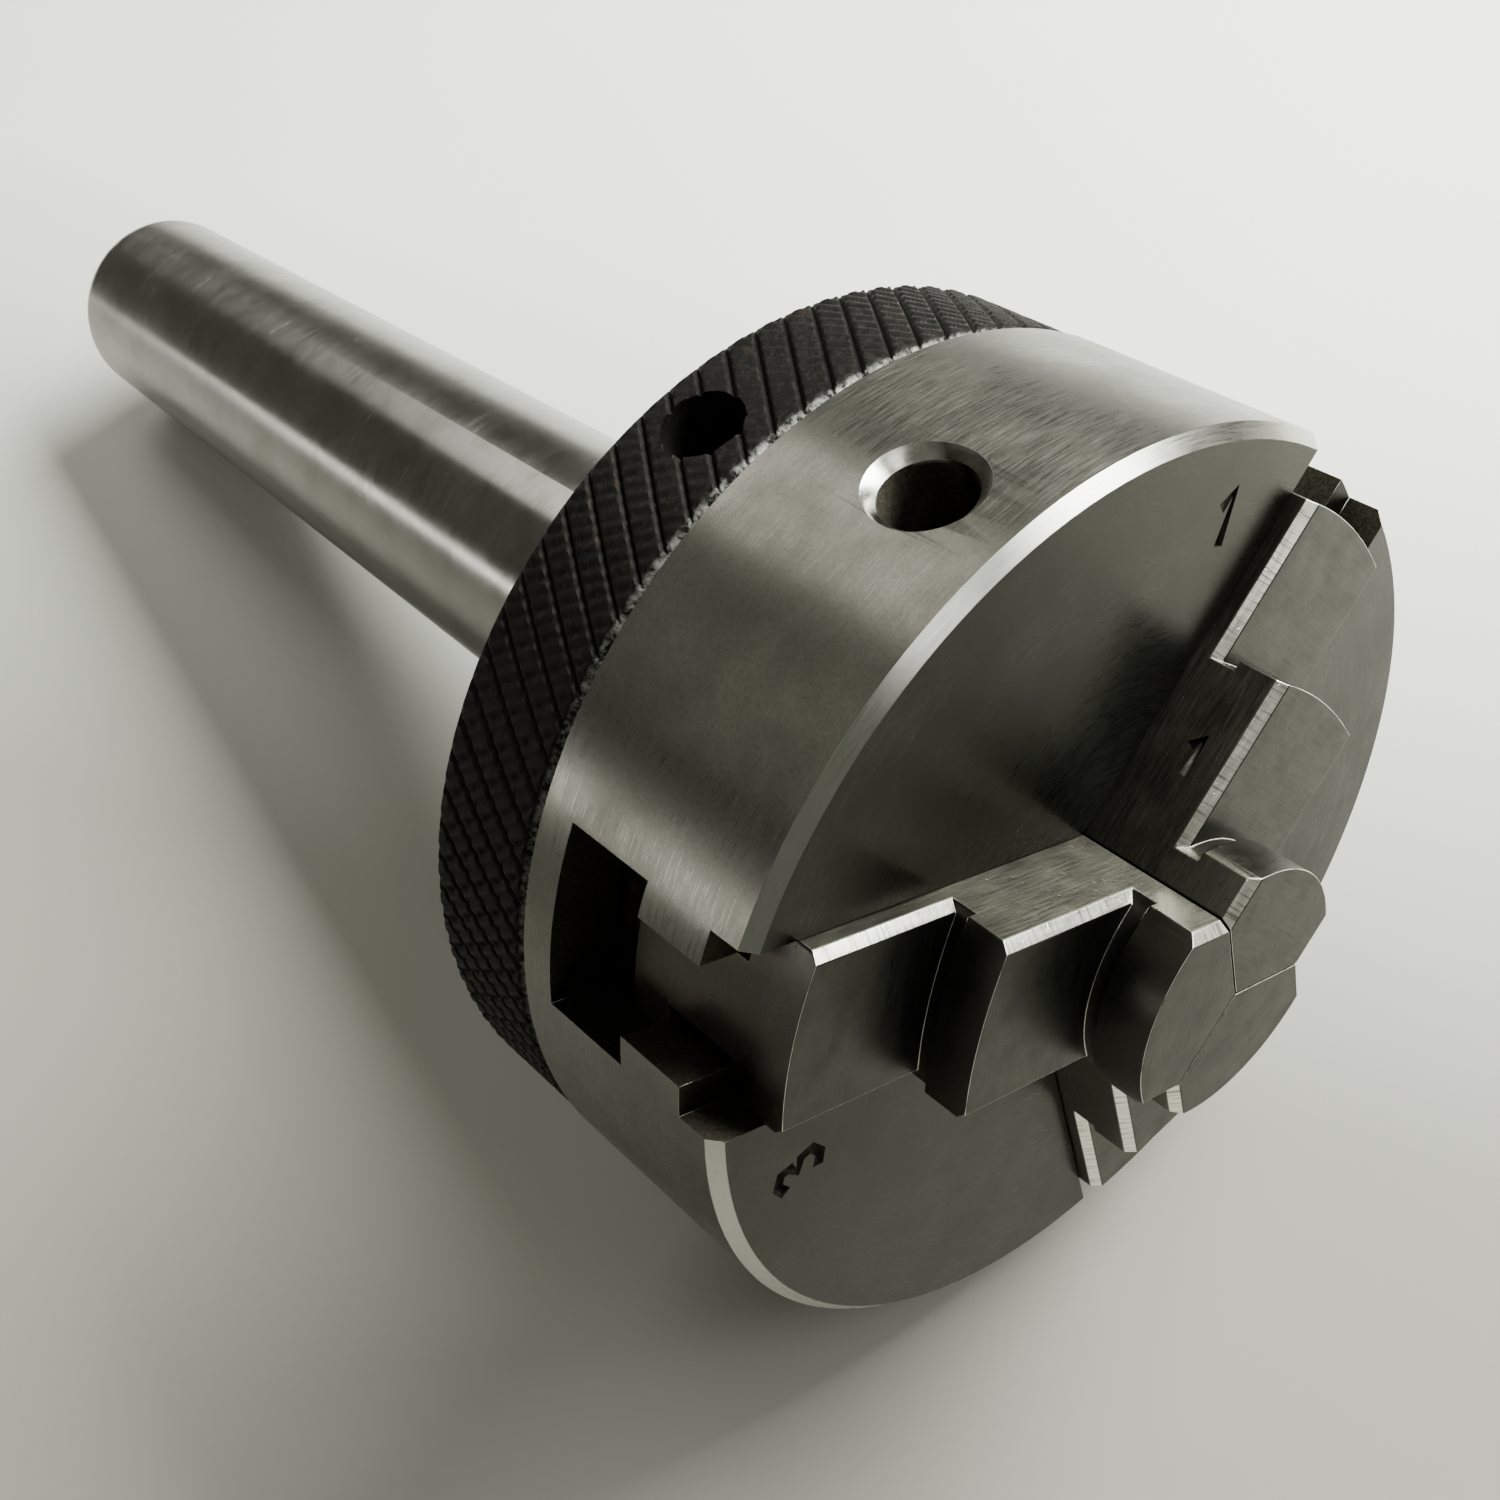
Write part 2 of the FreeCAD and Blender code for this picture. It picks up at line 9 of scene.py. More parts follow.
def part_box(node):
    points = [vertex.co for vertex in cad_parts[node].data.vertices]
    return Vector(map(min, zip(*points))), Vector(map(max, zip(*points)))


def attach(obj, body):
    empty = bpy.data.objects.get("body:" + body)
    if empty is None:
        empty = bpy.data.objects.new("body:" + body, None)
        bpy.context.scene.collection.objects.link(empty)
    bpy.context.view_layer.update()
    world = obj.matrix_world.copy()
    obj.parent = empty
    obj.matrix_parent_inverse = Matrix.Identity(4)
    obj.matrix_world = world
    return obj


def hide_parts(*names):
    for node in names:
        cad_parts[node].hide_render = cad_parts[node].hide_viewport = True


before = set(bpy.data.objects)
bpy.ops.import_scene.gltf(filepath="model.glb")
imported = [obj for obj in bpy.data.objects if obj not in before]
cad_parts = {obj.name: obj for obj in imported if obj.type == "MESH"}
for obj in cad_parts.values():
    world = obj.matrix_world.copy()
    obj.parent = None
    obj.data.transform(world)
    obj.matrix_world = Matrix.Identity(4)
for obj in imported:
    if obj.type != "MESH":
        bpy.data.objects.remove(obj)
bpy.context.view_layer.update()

# Lengths below are in millimetres and turns in degrees from +Y toward +Z.
MM = 0.001
JAW_TURNS = {"jaw_1": 30.0, "jaw_2": 270.0, "jaw_3": 150.0}
BODY_FACE_X = 25.3
BODY_RADIUS = 25.0
KNURL_ANGLE = 35.8
KNURL_COUNT = 84
RING_CREST_RADIUS = 24.9
RING_BORE_RADIUS = 18.0
RING_CHAMFER = 0.45
RING_SINK = 0.05
COLUMNS_PER_GROOVE = 14
# Each groove's width as a share of its spacing, then its depth.
DEEP_GROOVE = (0.3, 0.3)
FINE_GROOVE = (0.5, 0.14)
BAR_HOLE_TURNS = (95.5, 215.5, 335.5)
BAR_HOLE_RADIUS = 2.1
BAR_HOLE_X = 7.0
BAR_HOLE_MIDDLE = 23.9
BAR_HOLE_DEPTH = 12
FACE_NUMBER_HEIGHT = 2.7
FACE_NUMBER_STROKE = 0.66
FACE_NUMBER_TURN = 25.8
FACE_NUMBER_RADIUS = 20.6
JAW_NUMBER_HEIGHT = 2.0
JAW_NUMBER_STROKE = 0.54
JAW_NUMBER_RADIUS = 8.6
JAW_HALF_WIDTH = 4.9
JAW_NUMBER_X = 28.1
BODY_EDGE_BREAK = 0.09
JAW_EDGE_BREAK = 0.07
SAME_POINT = 0.002
FLAT_BELOW = 0.4
BEVEL_ABOVE = 32
SMOOTH_BELOW = 40
SHANK_END_RADIUS = 6.9


# ---------------------------------------------------------------- node helpers

class Graph:
    """A material's nodes, with short calls for the ones that are used here."""

    def __init__(self, name):
        self.material = bpy.data.materials.new(name)
        self.material.use_nodes = True
        self.tree = self.material.node_tree
        self.shader = self.tree.nodes["Principled BSDF"]
        self.place = self.new("ShaderNodeTexCoord")

    def new(self, kind, **settings):
        node = self.tree.nodes.new(kind)
        for key, value in settings.items():
            setattr(node, key, value)
        return node

    def link(self, source, socket):
        if isinstance(source, (int, float, tuple)):
            socket.default_value = source
        else:
            self.tree.links.new(source, socket)

    def math(self, operation, a, b=0.0, c=0.0, clamp=False):
        node = self.new("ShaderNodeMath", operation=operation, use_clamp=clamp)
        for value, socket in zip((a, b, c), node.inputs):
            self.link(value, socket)
        return node.outputs[0]

    def combine(self, x, y, z):
        node = self.new("ShaderNodeCombineXYZ")
        for value, socket in zip((x, y, z), node.inputs):
            self.link(value, socket)
        return node.outputs[0]

    def separate(self, vector):
        node = self.new("ShaderNodeSeparateXYZ")
        self.link(vector, node.inputs[0])
        return node.outputs

    def noise(self, vector, scale=1.0, detail=2.0, roughness=0.5):
        node = self.new("ShaderNodeTexNoise")
        self.link(vector, node.inputs["Vector"])
        node.inputs["Scale"].default_value = scale
        node.inputs["Detail"].default_value = detail
        node.inputs["Roughness"].default_value = roughness
        return node.outputs["Fac"]

    def spread(self, value, low, high, to_low=0.0, to_high=1.0):
        node = self.new("ShaderNodeMapRange")
        self.link(value, node.inputs["Value"])
        settings = (("From Min", low), ("From Max", high), ("To Min", to_low), ("To Max", to_high))
        for socket, number in settings:
            node.inputs[socket].default_value = number
        return node.outputs["Result"]

    def mix(self, factor, a, b):
        node = self.new("ShaderNodeMix", data_type="RGBA")
        self.link(factor, node.inputs["Factor"])
        for value, key in ((a, "A"), (b, "B")):
            socket = next(s for s in node.inputs if s.name == key and s.type == "RGBA")
            self.link((*value, 1.0) if isinstance(value, tuple) else value, socket)
        return next(s for s in node.outputs if s.type == "RGBA")

    def millimetres(self):
        node = self.new("ShaderNodeVectorMath", operation="SCALE")
        self.link(self.place.outputs["Object"], node.inputs[0])
        node.inputs["Scale"].default_value = 1.0 / MM
        return self.separate(node.outputs[0])

    def normal(self):
        return self.separate(self.place.outputs["Normal"])

    def radius_and_angle(self, y, z):
        squares = self.math("ADD", self.math("MULTIPLY", y, y), self.math("MULTIPLY", z, z))
        return self.math("SQRT", squares), self.math("ARCTAN2", z, y)

    def bump(self, height, strength, distance_mm):
        node = self.new("ShaderNodeBump")
        self.link(height, node.inputs["Height"])
        node.inputs["Strength"].default_value = strength
        node.inputs["Distance"].default_value = distance_mm * MM
        self.link(node.outputs["Normal"], self.shader.inputs["Normal"])

    def set(self, **values):
        names = {"color": "Base Color", "metallic": "Metallic", "roughness": "Roughness",
                 "anisotropic": "Anisotropic", "specular": "Specular IOR Level"}
        for key, value in values.items():
            if isinstance(value, tuple):
                value = (*value, 1.0)
            self.link(value, self.shader.inputs[names[key]])

    def turned_about_x(self):
        tangent = self.new("ShaderNodeTangent", direction_type="RADIAL", axis="X")
        self.link(tangent.outputs[0], self.shader.inputs["Tangent"])
        self.shader.inputs["Anisotropic Rotation"].default_value = 0.25


def lines_about_x(graph, x, radius, angle, per_mm, along):
    """Fine lines that run round the axis, as turning and cylindrical grinding leave."""
    vector = graph.combine(graph.math("MULTIPLY", x, per_mm), graph.math("MULTIPLY", radius, per_mm),
                           graph.math("MULTIPLY", angle, along))
    return graph.noise(vector, 1.0, 3.0, 0.6)


# ---------------------------------------------------------------- materials

def body_steel():
    """Ground body: satin side and turned face; painted shade darkens the face, a painted highlight brightens
    the chamfer at the rim, and painted shade darkens the slot walls and holes, which are also rougher.
    """
    g = Graph("body_ground_steel")
    x, y, z = g.millimetres()
    nx, ny, nz = g.normal()
    radius, angle = g.radius_and_angle(y, z)
    fine = lines_about_x(g, x, radius, angle, 9.0, 12.0)
    broad = lines_about_x(g, x, radius, angle, 2.4, 7.0)
    grain = g.noise(g.combine(x, y, z), 6.0, 4.0, 0.7)
    blotch = g.noise(g.combine(x, y, z), 0.22, 3.0, 0.6)
    face = g.spread(nx, 0.85, 0.95)
    on_face = g.math("MULTIPLY", face, g.spread(x, BODY_FACE_X - 0.1, BODY_FACE_X - 0.02))
    outward = g.math("ADD", g.math("MULTIPLY", ny, g.math("DIVIDE", y, radius)),
                     g.math("MULTIPLY", nz, g.math("DIVIDE", z, radius)))
    on_side = g.math("MULTIPLY", g.spread(outward, 0.55, 0.65),
                     g.spread(radius, BODY_RADIUS - 0.75, BODY_RADIUS - 0.7))
    face_or_side = g.math("MAXIMUM", on_face, on_side)
    # Painted highlight: the front chamfer at the rim is given a much brighter colour than the rest of the
    # steel.
    edge = g.math("MULTIPLY", g.spread(nx, 0.3, 0.5), g.spread(nx, 0.9, 0.8))
    painted_chamfer_highlight = g.math("MULTIPLY", edge, g.spread(radius, BODY_RADIUS - 0.8, BODY_RADIUS - 0.6))
    steel = g.mix(g.spread(blotch, 0.35, 0.7), (0.135, 0.134, 0.118), (0.1, 0.097, 0.082))
    steel = g.mix(g.spread(grain, 0.45, 0.75, 0.0, 0.6), steel, (0.06, 0.058, 0.048))
    steel = g.mix(g.spread(fine, 0.5, 0.75, 0.0, 0.15), steel, (0.18, 0.18, 0.16))
    # Painted shade: the front face is mixed toward a much darker steel colour than the side.
    steel = g.mix(g.math("MULTIPLY", on_face, 0.8), steel, (0.036, 0.037, 0.031))
    # Painted shade: everything off the front face and the outer side, the slot walls, holes and bore, takes a
    # dark warm grey.
    dark = g.mix(g.spread(grain, 0.35, 0.65), (0.03, 0.028, 0.02), (0.08, 0.074, 0.056))
    color = g.mix(face_or_side, dark, steel)
    color = g.mix(painted_chamfer_highlight, color, (0.52, 0.52, 0.48))
    rough = g.math("ADD", g.spread(fine, 0.3, 0.7, 0.24, 0.36), g.spread(blotch, 0.3, 0.7, -0.03, 0.05))
    rough = g.math("ADD", rough, g.math("MULTIPLY", g.math("SUBTRACT", 1.0, face_or_side), 0.2))
    rough_parts = g.math("ADD", g.math("MULTIPLY", broad, 0.2), g.math("MULTIPLY", grain, 0.9))
    height = g.math("ADD", fine, rough_parts)
    g.bump(height, 0.22, 0.01)
    g.set(color=color, metallic=1.0, roughness=rough, anisotropic=0.65)
    g.turned_about_x()
    return g.material


def jaw_steel(turn):
    """Ground jaw with pits, milled edge chamfers and undercuts below its risers; the chamfers carry a painted
    highlight, the sides painted light, the riser and end faces a painted tone for how lit they look, and the
    part inside the slot painted shade.
    """
    g = Graph(f"jaw_steel_{int(turn)}")
    x, y, z = g.millimetres()
    nx, ny, nz = g.normal()
    c, s = math.cos(math.radians(turn)), math.sin(math.radians(turn))
    out = g.math("ADD", g.math("MULTIPLY", y, c), g.math("MULTIPLY", z, s))
    across = g.math("SUBTRACT", g.math("MULTIPLY", z, c), g.math("MULTIPLY", y, s))
    n_out = g.math("ADD", g.math("MULTIPLY", ny, c), g.math("MULTIPLY", nz, s))
    top = g.spread(nx, 0.9, 0.97)
    side = g.noise(g.combine(g.math("MULTIPLY", x, 7.0), g.math("MULTIPLY", out, 0.5), across), 1.0, 3.0, 0.6)
    flat = g.noise(g.combine(g.math("MULTIPLY", out, 8.0), g.math("MULTIPLY", across, 0.4), x), 1.0, 3.0, 0.6)
    lines = g.math("ADD", g.math("MULTIPLY", flat, top),
                   g.math("MULTIPLY", side, g.math("SUBTRACT", 1.0, top)))
    grain = g.noise(g.combine(x, y, z), 5.0, 4.0, 0.7)
    blotch = g.noise(g.combine(x, y, z), 0.5, 3.0, 0.6)
    pits = g.spread(g.noise(g.combine(x, y, z), 3.4, 2.0, 0.5), 0.68, 0.74)
    bevel = g.math("MULTIPLY", g.spread(nx, 0.5, 0.62), g.spread(nx, 0.86, 0.78))
    milled = g.noise(g.combine(g.math("MULTIPLY", out, 3.6), g.math("MULTIPLY", x, 0.3), 0.0), 1.0, 3.0, 0.75)
    riser = g.spread(n_out, 0.6, 0.8)
    steel = g.mix(g.spread(blotch, 0.35, 0.7), (0.066, 0.067, 0.057), (0.049, 0.049, 0.041))
    steel = g.mix(g.spread(grain, 0.5, 0.8, 0.0, 0.5), steel, (0.036, 0.035, 0.03))
    steel = g.mix(g.math("MULTIPLY", pits, 0.8), steel, (0.06, 0.055, 0.045))
    # Painted light: the jaw's sides, facing across the slot, are mixed toward a lighter steel colour.
    n_across = g.math("ABSOLUTE", g.math("SUBTRACT", g.math("MULTIPLY", nz, c), g.math("MULTIPLY", ny, s)))
    steel = g.mix(g.spread(n_across, 0.8, 0.95, 0.0, 0.6), steel, (0.17, 0.165, 0.136))
    # Painted light and shade: the faces that point outward, the risers and the jaw's end, get a tone of their
    # own set to how lit they look.
    steel = g.mix(g.math("MULTIPLY", riser, 0.8), steel, (0.07, 0.069, 0.058))
    # Painted shade: the part of the jaw inside the slot, below x 24.9 mm, is mixed toward a warm grey.
    inside = g.spread(x, 24.9, 24.2)
    steel = g.mix(g.math("MULTIPLY", inside, 0.8), steel, (0.06, 0.056, 0.043))
    # Milling marks across the chamfers, with a painted highlight: the chamfers are given a near-white colour
    # between the darker marks.
    milled_marks_and_glint = g.mix(g.spread(milled, 0.5, 0.66), (0.97, 0.96, 0.88), (0.3, 0.295, 0.25))
    color = g.mix(bevel, steel, milled_marks_and_glint)
    rough = g.math("ADD", g.spread(lines, 0.3, 0.7, 0.3, 0.42), g.spread(blotch, 0.3, 0.7, -0.04, 0.04))
    cuts = g.math("MULTIPLY", g.math("MULTIPLY", milled, bevel), 2.0)
    height = g.math("ADD", lines, cuts)
    height = g.math("SUBTRACT", height, g.math("MULTIPLY", pits, 1.5))
    g.bump(height, 0.45, 0.012)
    g.set(color=color, metallic=1.0, roughness=rough, anisotropic=0.3)
    return g.material


def ring_black():
    """Black oxide over the knurl, rubbed on the crests and worn through along the front edge."""
    g = Graph("ring_black_oxide")
    x, y, z = g.millimetres()
    radius, angle = g.radius_and_angle(y, z)
    grain = g.noise(g.combine(x, y, z), 3.0, 5.0, 0.7)
    patch = g.noise(g.combine(x, y, z), 0.45, 4.0, 0.65)
    rust = g.noise(g.combine(x, y, z), 1.1, 4.0, 0.7)
    crest = g.spread(radius, 24.6, 24.86)
    rubbed = g.math("MULTIPLY", crest, g.spread(grain, 0.5, 0.75, 0.0, 0.9))
    black = g.mix(g.spread(patch, 0.35, 0.7), (0.0028, 0.0027, 0.0023), (0.0065, 0.006, 0.0048))
    black = g.mix(g.spread(rust, 0.6, 0.8, 0.0, 0.5), black, (0.07, 0.038, 0.02))
    color = g.mix(rubbed, black, (0.022, 0.021, 0.017))
    along_edge = g.combine(g.math("MULTIPLY", x, 2.0), g.math("MULTIPLY", angle, 40.0), 0.0)
    chip_noise = g.noise(along_edge, 1.0, 4.0, 0.75)
    front = g.spread(x, 10.45, 10.75)
    chipped = g.math("MULTIPLY", front, g.spread(chip_noise, 0.42, 0.6), clamp=True)
    chipped = g.math("MULTIPLY", chipped, g.spread(radius, 24.2, 24.35))
    color = g.mix(chipped, color, (0.3, 0.3, 0.28))
    g.bump(g.math("ADD", grain, g.math("MULTIPLY", rust, 0.5)), 0.5, 0.03)
    metal = g.math("ADD", 0.55, g.math("MULTIPLY", chipped, 0.4))
    rough = g.spread(grain, 0.3, 0.7, 0.5, 0.72)
    g.set(color=color, metallic=metal, roughness=rough, specular=0.16)
    return g.material


def shank_steel():
    """Finely ground shank, nearly a mirror across its width, with soft rings and a few stains."""
    g = Graph("shank_fine_ground")
    x, y, z = g.millimetres()
    radius, angle = g.radius_and_angle(y, z)
    fine = lines_about_x(g, x, radius, angle, 6.0, 5.0)
    broad = lines_about_x(g, x, radius, angle, 0.25, 0.6)
    stain = g.noise(g.combine(x, y, z), 0.3, 4.0, 0.6)
    color = g.mix(g.spread(stain, 0.45, 0.75), (0.2, 0.2, 0.186), (0.15, 0.146, 0.13))
    rough = g.math("ADD", g.spread(fine, 0.3, 0.7, 0.17, 0.25), g.spread(broad, 0.3, 0.7, -0.02, 0.04))
    g.bump(fine, 0.3, 0.006)
    g.set(color=color, metallic=1.0, roughness=rough, anisotropic=0.5)
    g.turned_about_x()
    return g.material


def plain_metal(name, light, dark, roughness, per_mm=5.0):
    """Turned metal for the pieces inside and behind."""
    g = Graph(name)
    x, y, z = g.millimetres()
    radius, angle = g.radius_and_angle(y, z)
    fine = lines_about_x(g, x, radius, angle, per_mm, 1.5)
    stain = g.noise(g.combine(x, y, z), 0.8, 4.0, 0.65)
    color = g.mix(g.spread(stain, 0.35, 0.7), light, dark)
    rough = g.spread(fine, 0.3, 0.7, roughness - 0.05, roughness + 0.08)
    g.bump(fine, 0.3, 0.01)
    g.set(color=color, metallic=1.0, roughness=rough)
    return g.material


def paper():
    """Pale, faintly uneven paper that the object lies on, with painted shade darkening it towards −Y and,
    less, towards +X.
    """
    g = Graph("pale_paper")
    x, y, z = g.millimetres()
    fibre = g.noise(g.combine(x, y, z), 1.5, 4.0, 0.6)
    tone = g.noise(g.combine(x, y, z), 0.02, 2.0, 0.5)
    color = g.mix(g.spread(tone, 0.3, 0.7), (0.74, 0.75, 0.70), (0.70, 0.70, 0.66))
    # Painted shade: the paper darkens toward −Y and +X, over a band from y − x/2 = 25 mm to −45 mm.
    away = g.math("SUBTRACT", y, g.math("MULTIPLY", x, 0.5))
    color = g.mix(g.spread(away, 25.0, -45.0), color, (0.29, 0.286, 0.256))
    g.bump(fibre, 0.15, 0.03)
    g.set(color=color, roughness=0.75, specular=0.2)
    return g.material


def assign(obj, material):
    obj.data.materials.clear()
    obj.data.materials.append(material)


# ---------------------------------------------------------------- pieces

def mesh_object(name, vertices, faces):
    mesh = bpy.data.meshes.new(name)
    mesh.from_pydata(vertices, [], faces)
    mesh.update()
    obj = bpy.data.objects.new(name, mesh)
    bpy.context.collection.objects.link(obj)
    return obj


def apply_modifiers(obj):
    graph = bpy.context.evaluated_depsgraph_get()
    mesh = bpy.data.meshes.new_from_object(obj.evaluated_get(graph))
    obj.modifiers.clear()
    obj.data = mesh


def cut_away(obj, cutter):
    """Take a closed cutter out of a piece."""
    modifier = obj.modifiers.new("cut", "BOOLEAN")
    modifier.operation = "DIFFERENCE"
    modifier.solver = "EXACT"
    modifier.object = cutter
    apply_modifiers(obj)
    bpy.data.objects.remove(cutter)


def radial(degrees):
    """Unit vector that points away from the axis."""
    angle = math.radians(degrees)
    return Vector((0, math.cos(angle), math.sin(angle)))


def groove_depth(turns, width, depth):
    """Depth of a V groove once a turn, where turns counts grooves."""
    away = abs(turns - math.floor(turns) - 0.5) * 2
    return depth * max(0.0, 1.0 - away / width)


def knurled_ring():
    """The ring with two families of helical grooves; columns of the mesh follow the deeper family."""
    low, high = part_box("knurled_ring")
    back, front = low.x / MM, high.x / MM
    columns = KNURL_COUNT * COLUMNS_PER_GROOVE
    rows = 44
    edge_radius = RING_CREST_RADIUS - RING_CHAMFER - RING_SINK
    lead = math.tan(math.radians(KNURL_ANGLE)) / BODY_RADIUS
    vertices = []
    faces = []
    for j in range(rows + 1):
        x = back + (front - back) * j / rows
        edge = min(x - back, front - x)
        for i in range(columns):
            start = 2 * math.pi * i / columns
            angle = start + lead * x
            deep = groove_depth(KNURL_COUNT * start / (2 * math.pi), *DEEP_GROOVE)
            fine = groove_depth(KNURL_COUNT * 2 * (angle + lead * x) / (2 * math.pi), *FINE_GROOVE)
            radius = min(RING_CREST_RADIUS - max(deep, fine), edge_radius + edge)
            vertices.append((x * MM, radius * math.cos(angle) * MM, radius * math.sin(angle) * MM))
    for x in (front, back):
        for i in range(columns):
            angle = 2 * math.pi * i / columns + lead * x
            y, z = RING_BORE_RADIUS * math.cos(angle), RING_BORE_RADIUS * math.sin(angle)
            vertices.append((x * MM, y * MM, z * MM))
    rings = rows + 3
    for j in range(rings):
        for i in range(columns):
            k = (i + 1) % columns
            following = (j + 1) % rings
            faces.append((j * columns + i, following * columns + i, following * columns + k, j * columns + k))
    ring = mesh_object("knurled_grip_ring", vertices, faces)
    for turn in BAR_HOLE_TURNS:
        bpy.ops.mesh.primitive_cylinder_add(vertices=64, radius=BAR_HOLE_RADIUS * MM,
                                            depth=BAR_HOLE_DEPTH * MM)
        cutter = bpy.context.object
        direction = radial(turn)
        cutter.rotation_mode = "QUATERNION"
        cutter.rotation_quaternion = direction.to_track_quat("Z", "Y")
        cutter.location = direction * BAR_HOLE_MIDDLE * MM + Vector((BAR_HOLE_X * MM, 0, 0))
        bpy.context.view_layer.update()
        cut_away(ring, cutter)
    smooth(ring, SMOOTH_BELOW)
    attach(ring, "scroll_ring")
    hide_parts("knurled_ring")
    assign(ring, ring_black())


def smooth(obj, degrees):
    """Smooth shading with sharp edges above an angle."""
    mesh = obj.data
    mesh.shade_smooth()
    mesh.set_sharp_from_angle(angle=math.radians(degrees))


def refine(node, name, width, body, materials, cutters=()):
    """A copy of a CAD node with its edges slightly broken and its numbers sunk; it stands for the node."""
    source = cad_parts[node]
    mesh = source.data.copy()
    obj = bpy.data.objects.new(name, mesh)
    obj.matrix_world = source.matrix_world.copy()
    bpy.context.collection.objects.link(obj)
    made = bmesh.new()
    made.from_mesh(mesh)
    bmesh.ops.remove_doubles(made, verts=made.verts, dist=SAME_POINT * MM)
    bmesh.ops.dissolve_limit(made, angle_limit=math.radians(FLAT_BELOW), verts=made.verts,
                             edges=made.edges)
    made.to_mesh(mesh)
    made.free()
    mesh.materials.clear()
    for material in materials:
        mesh.materials.append(material)
    for face in mesh.polygons:
        face.material_index = 0
    bevel = obj.modifiers.new("edges", "BEVEL")
    bevel.width = width * MM
    bevel.segments = 2
    bevel.limit_method = "ANGLE"
    bevel.angle_limit = math.radians(BEVEL_ABOVE)
    bevel.use_clamp_overlap = True
    apply_modifiers(obj)
    for cutter in cutters:
        cut_away(obj, cutter)
    smooth(obj, SMOOTH_BELOW)
    weigh = obj.modifiers.new("normals", "WEIGHTED_NORMAL")
    weigh.keep_sharp = True
    weigh.weight = 90
    apply_modifiers(obj)
    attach(obj, body)
    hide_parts(node)
    return obj


STROKES = {
    "1": [(-0.26, 0.68), (0.0, 1.0), (0.0, 0.0)],
    "2": [(-0.28, 0.74), (-0.2, 0.93), (0.02, 1.0), (0.25, 0.9), (0.28, 0.68), (-0.3, 0.0), (0.32, 0.0)],
    "3": [(-0.27, 0.88), (0.0, 1.0), (0.25, 0.87), (0.23, 0.65), (0.0, 0.54), (0.27, 0.4), (0.28, 0.14),
          (0.0, 0.0), (-0.29, 0.12)],
}


def stamp_cutter(text, height, stroke, place, up, normal, materials):
    """A round-nosed stroke in the form of a number, half sunk into a surface."""
    right = up.cross(normal)
    curve = bpy.data.curves.new("stroke", "CURVE")
    curve.dimensions = "3D"
    curve.bevel_depth = stroke / 2 * MM
    curve.bevel_resolution = 2
    curve.use_fill_caps = True
    points = STROKES[text]
    line = curve.splines.new("POLY")
    line.points.add(len(points) - 1)
    for point, (across, along) in zip(line.points, points):
        spot = place + right * across * height + up * (along - 0.5) * height
        point.co = (*(spot * MM), 1.0)
    source = bpy.data.objects.new("stroke", curve)
    bpy.context.collection.objects.link(source)
    bpy.context.view_layer.update()
    mesh = bpy.data.meshes.new_from_object(source.evaluated_get(bpy.context.evaluated_depsgraph_get()))
    bpy.data.objects.remove(source)
    mesh.materials.clear()
    for material in materials:
        mesh.materials.append(material)
    for face in mesh.polygons:
        face.material_index = 1
    cutter = bpy.data.objects.new("stroke_cutter", mesh)
    bpy.context.collection.objects.link(cutter)
    return cutter


def chuck_and_jaws():
    """The body and the jaws, with the jaw numbers stamped beside each slot and on each jaw's side."""
    # Painted shade: the stamped recesses of the numbers take a near-black steel colour.
    sunk = plain_metal("stamped_recess", (0.03, 0.028, 0.024), (0.012, 0.011, 0.01), 0.6)
    materials = [body_steel(), sunk]
    cutters = []
    for jaw, turn in JAW_TURNS.items():
        up = radial(turn + FACE_NUMBER_TURN)
        place = up * FACE_NUMBER_RADIUS + Vector((BODY_FACE_X, 0, 0))
        cutters.append(stamp_cutter(jaw[-1], FACE_NUMBER_HEIGHT, FACE_NUMBER_STROKE, place, up,
                                    Vector((1, 0, 0)), materials))
    body = refine("chuck_body", "ground_chuck_body", BODY_EDGE_BREAK, "chuck", materials, cutters)
    for jaw, turn in JAW_TURNS.items():
        materials = [jaw_steel(turn), sunk]
        up, side = radial(turn), radial(turn + 90)
        place = up * JAW_NUMBER_RADIUS + side * JAW_HALF_WIDTH + Vector((JAW_NUMBER_X, 0, 0))
        cutter = stamp_cutter(jaw[-1], JAW_NUMBER_HEIGHT, JAW_NUMBER_STROKE, place, up, side, materials)
        piece = refine(jaw, f"ground_{jaw}", JAW_EDGE_BREAK, f"{jaw}_slide", materials, [cutter])


def dress_nodes():
    """Give every CAD node that stays its material."""
    oiled = plain_metal("scroll_oiled_steel", (0.20, 0.19, 0.16), (0.10, 0.09, 0.07), 0.35)
    flange = plain_metal("flange_turned_steel", (0.48, 0.47, 0.44), (0.36, 0.35, 0.31), 0.32)
    bronze = plain_metal("washer_bronze", (0.50, 0.30, 0.13), (0.38, 0.22, 0.10), 0.35)
    screws = plain_metal("screw_black", (0.04, 0.038, 0.035), (0.06, 0.05, 0.04), 0.42)
    pins = plain_metal("pin_hard_steel", (0.5, 0.49, 0.46), (0.4, 0.39, 0.36), 0.25)
    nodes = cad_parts
    assign(nodes["scroll_plate"], oiled)
    assign(nodes["rear_flange"], flange)
    assign(nodes["thrust_washer"], bronze)
    assign(nodes["arbor"], shank_steel())
    for number in "123":
        assign(nodes[f"flange_screw_{number}"], screws)
        assign(nodes[f"ring_pin_{number}"], pins)


# ---------------------------------------------------------------- stage

def stage():
    """Pale ground that touches the ring's rear edge and the shank's end."""
    ring_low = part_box("knurled_ring")[0]
    shank_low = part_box("arbor")[0]
    shank_bottom = -SHANK_END_RADIUS * MM
    drop = ring_low.z - shank_bottom
    tilt = math.atan2(-drop, ring_low.x - shank_low.x)
    size = 1.6
    floor = mesh_object("ground", [(-size, -size, 0), (size, -size, 0), (size, size, 0), (-size, size, 0)],
                        [(0, 1, 2, 3)])
    floor.rotation_euler = (0, tilt, 0)
    floor.location = (shank_low.x, 0, shank_bottom)
    assign(floor, paper())


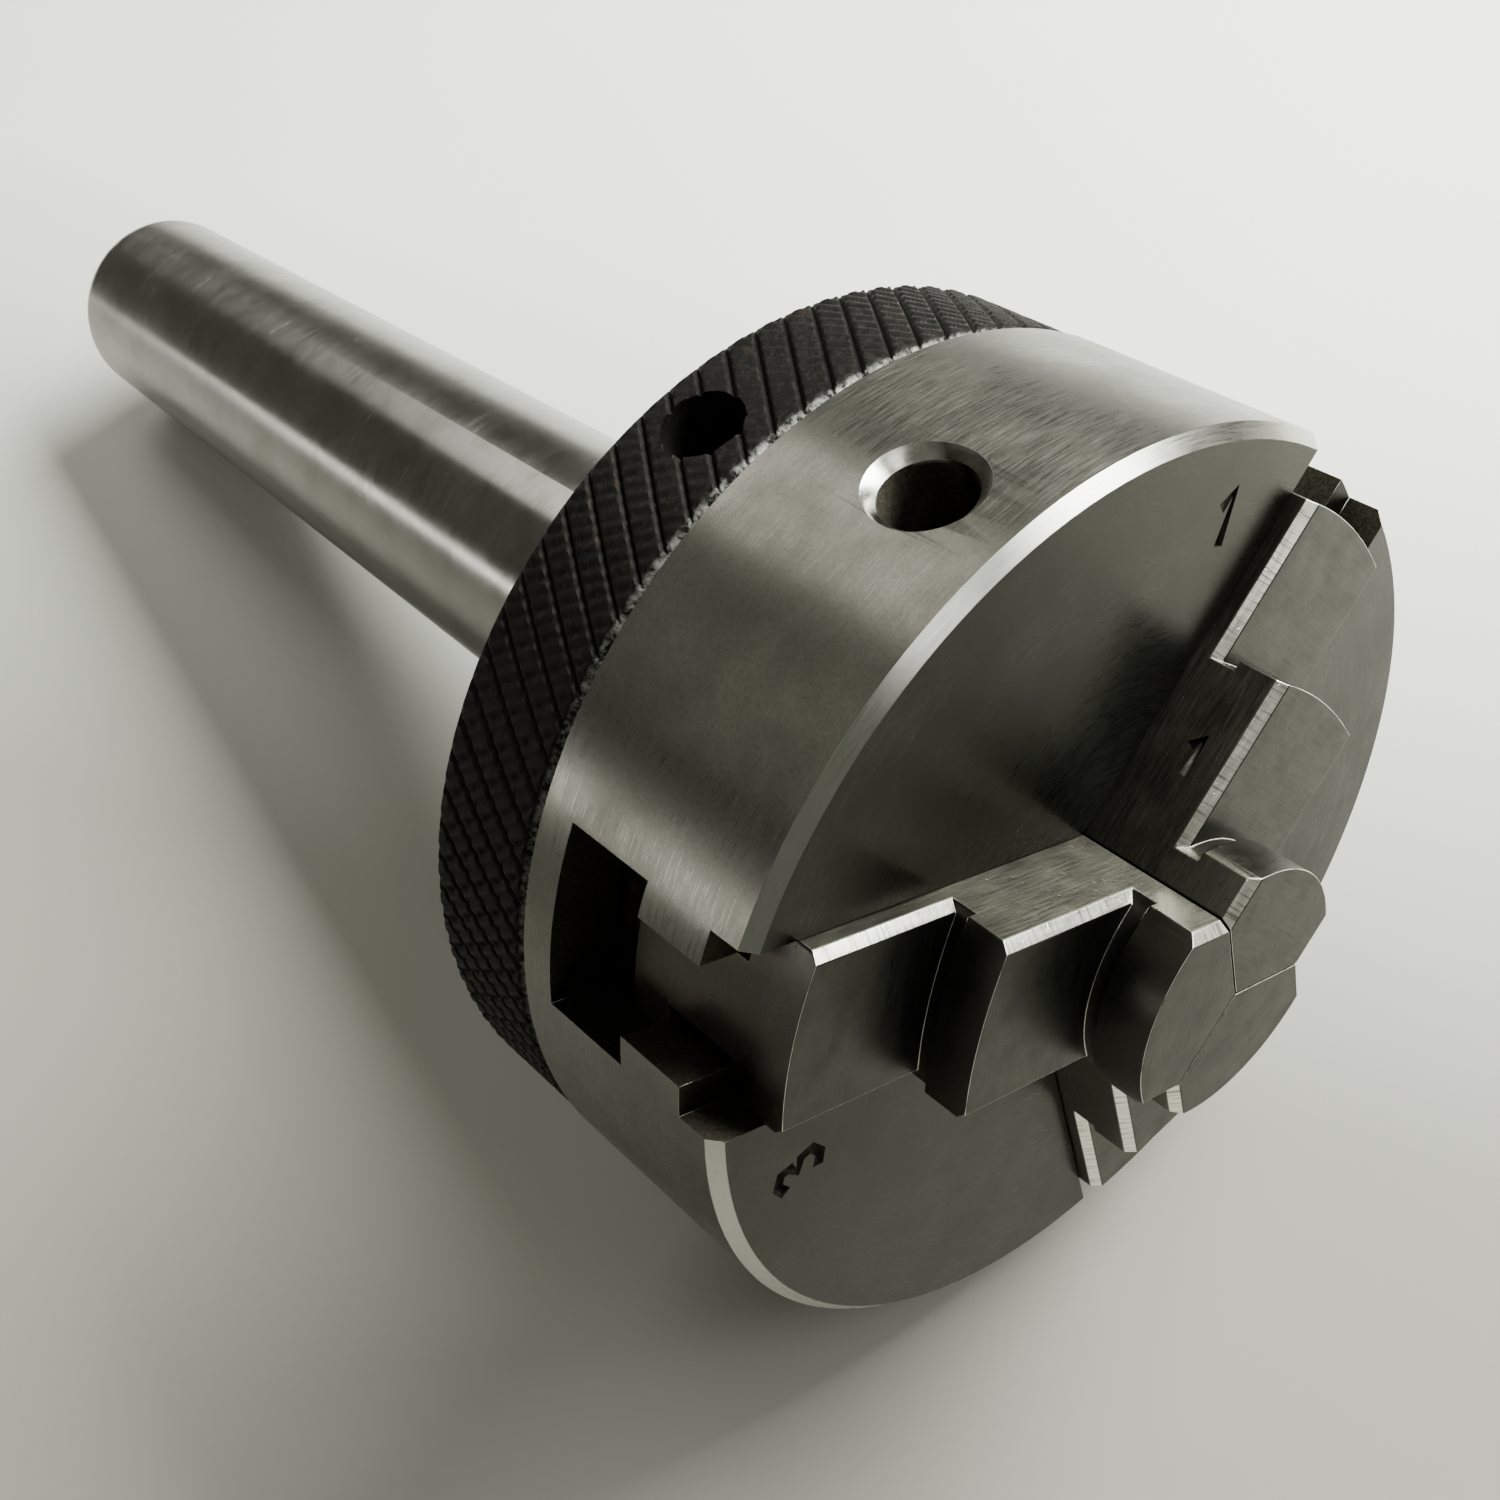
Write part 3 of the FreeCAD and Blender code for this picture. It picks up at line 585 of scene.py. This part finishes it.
def camera():
    data = bpy.data.cameras.new("camera")
    data.sensor_width = 36.0
    data.lens = 44.93
    data.shift_x = -0.0265
    data.shift_y = 0.0465
    data.clip_start = 0.005
    data.clip_end = 10.0
    cam = bpy.data.objects.new("camera", data)
    cam.location = (0.06865, -0.03742, 0.07642)
    cam.rotation_euler = [math.radians(angle) for angle in (39.988, 13.169, 47.192)]
    bpy.context.collection.objects.link(cam)
    bpy.context.scene.camera = cam


def area_light(name, place, target, size, power, color, spread=180):
    """A soft rectangular light whose first side lies along the chuck's axis as nearly as it can."""
    data = bpy.data.lights.new(name, "AREA")
    data.shape = "RECTANGLE"
    data.size, data.size_y = size
    data.energy = power
    data.color = color
    data.spread = math.radians(spread)
    back = (Vector(place) - Vector(target)).normalized()
    across = (Vector((1, 0, 0)) - back * back.x).normalized()
    lamp = bpy.data.objects.new(name, data)
    turn = Matrix((across, back.cross(across), back)).transposed().to_4x4()
    lamp.matrix_world = Matrix.Translation(Vector(place)) @ turn
    bpy.context.collection.objects.link(lamp)


def lights():
    world = bpy.data.worlds.new("studio")
    bpy.context.scene.world = world
    world.use_nodes = True
    background = world.node_tree.nodes["Background"]
    background.inputs["Color"].default_value = (0.88, 0.90, 0.74, 1.0)
    background.inputs["Strength"].default_value = 0.17
    middle = (0.0, 0.0, 0.0)
    area_light("key", (0.07, 0.286, 0.244), (-0.04, 0.11, 0.0), (0.27, 0.18), 2.2, (0.985, 1.0, 0.94), 95)
    area_light("ceiling", (-0.35, 0.13, 0.47), middle, (0.4, 0.25), 1.3, (1.0, 0.99, 0.92))
    area_light("glint", (0.29, 0.28, 0.19), middle, (0.16, 0.16), 0.8, (1.0, 1.0, 0.97))
    area_light("front", (0.30, 0.05, 0.32), middle, (0.12, 0.12), 0.3, (1.0, 1.0, 0.97))
    area_light("fill", (-0.2, -0.2, 0.4), middle, (0.3, 0.3), 0.2, (1.0, 0.99, 0.86))
    area_light("strip", (-0.36, -0.47, 0.155), middle, (0.6, 0.04), 0.8, (1.0, 0.98, 0.93))


camera()
knurled_ring()
chuck_and_jaws()
dress_nodes()
stage()
lights()
